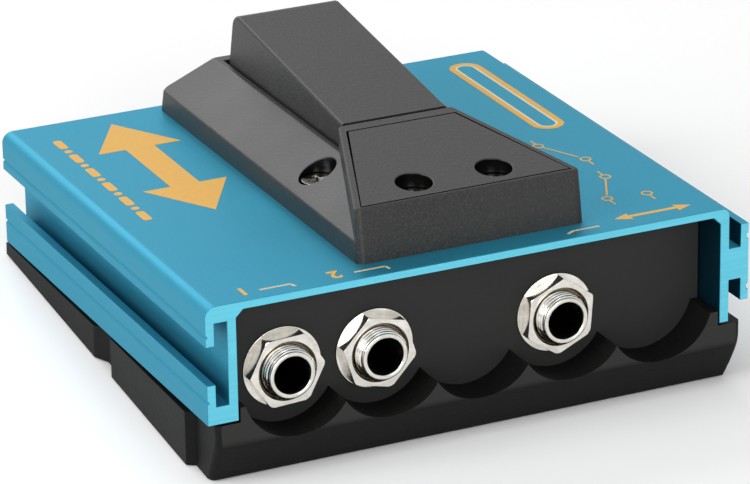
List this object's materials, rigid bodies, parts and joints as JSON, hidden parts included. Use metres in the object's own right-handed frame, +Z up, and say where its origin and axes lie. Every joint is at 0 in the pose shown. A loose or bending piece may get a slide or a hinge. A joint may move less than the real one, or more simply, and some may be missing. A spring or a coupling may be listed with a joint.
{
  "type": "a/b switch pedal",
  "caption": "Foot-operated signal switch box: extruded metal shell on a moulded wedge base, a jack panel at one end and a sprung treadle on top.",
  "frame": {"origin": "centre of the bounding box's bottom face, with the rubber sole on z = 0", "axes": "+X along the jack edge towards the side rail, +Y from the jack end towards the treadle's free end, +Z up"},
  "size_m": [0.1, 0.0936, 0.0436],
  "materials": {
    "blue_anodised": "satin blue anodising",
    "black_plastic": "fine texture",
    "black_rubber": "matte",
    "plain_steel": "plain zinc",
    "black_steel": "black oxide",
    "nickel": "nickel plate",
    "board_green": "solder mask",
    "jack_plastic": "moulded",
    "switch_blue": "moulded",
    "contact_brass": "plain",
    "lead_cover": "smooth",
    "print_orange": "screen print on the shell",
    "print_cream": "screen print on the shell"
  },
  "bodies": {
    "case": {"base_screws": "black_steel", "base_tray": "black_plastic", "board_screws": "plain_steel", "circuit_board": "board_green", "cover_screws": "black_steel", "hinge_cover": "black_plastic", "hinge_pin": "plain_steel", "jack_a_body": "jack_plastic", "jack_a_bush": "nickel", "jack_a_sleeve_contact": "contact_brass", "jack_a_tip_contact": "contact_brass", "jack_b_body": "jack_plastic", "jack_b_bush": "nickel", "jack_b_sleeve_contact": "contact_brass", "jack_b_tip_contact": "contact_brass", "jack_common_body": "jack_plastic", "jack_common_bush": "nickel", "jack_common_sleeve_contact": "contact_brass", "jack_common_tip_contact": "contact_brass", "jack_nuts": "nickel", "jack_washers": "nickel", "nut_plate": "plain_steel", "pedal_housing": "black_plastic", "return_spring": "plain_steel", "rubber_sole": "black_rubber", "side_screws": "black_steel", "stop_pads": "black_rubber", "switch_body": "switch_blue", "switch_frame": "nickel", "switch_leads": "lead_cover", "switch_lugs": "contact_brass", "switch_nut": "nickel", "switch_washer": "nickel", "top_shell": "blue_anodised"},
    "treadle": {"treadle": "black_plastic"},
    "plunger": {"switch_plunger": "nickel"}
  },
  "joints": [
    {"name": "treadle_press", "type": "hinge", "parent": "case", "child": "treadle", "pos_m": [0.0006, -0.01552, 0.03557], "axis": [-1, 0, 0], "range_deg": [0, 4.6], "stiffness_Nm_per_rad": 3, "springref_deg": -2.86, "deforming": ["return_spring"]},
    {"name": "plunger_press", "type": "slide", "parent": "case", "child": "plunger", "axis": [0, -0.0995, -0.995], "range_m": [0, 0.0033]}
  ],
  "couplings": [
    {"joint": "plunger_press", "follows": "treadle_press", "m_per_rad": 0.0395}
  ]
}
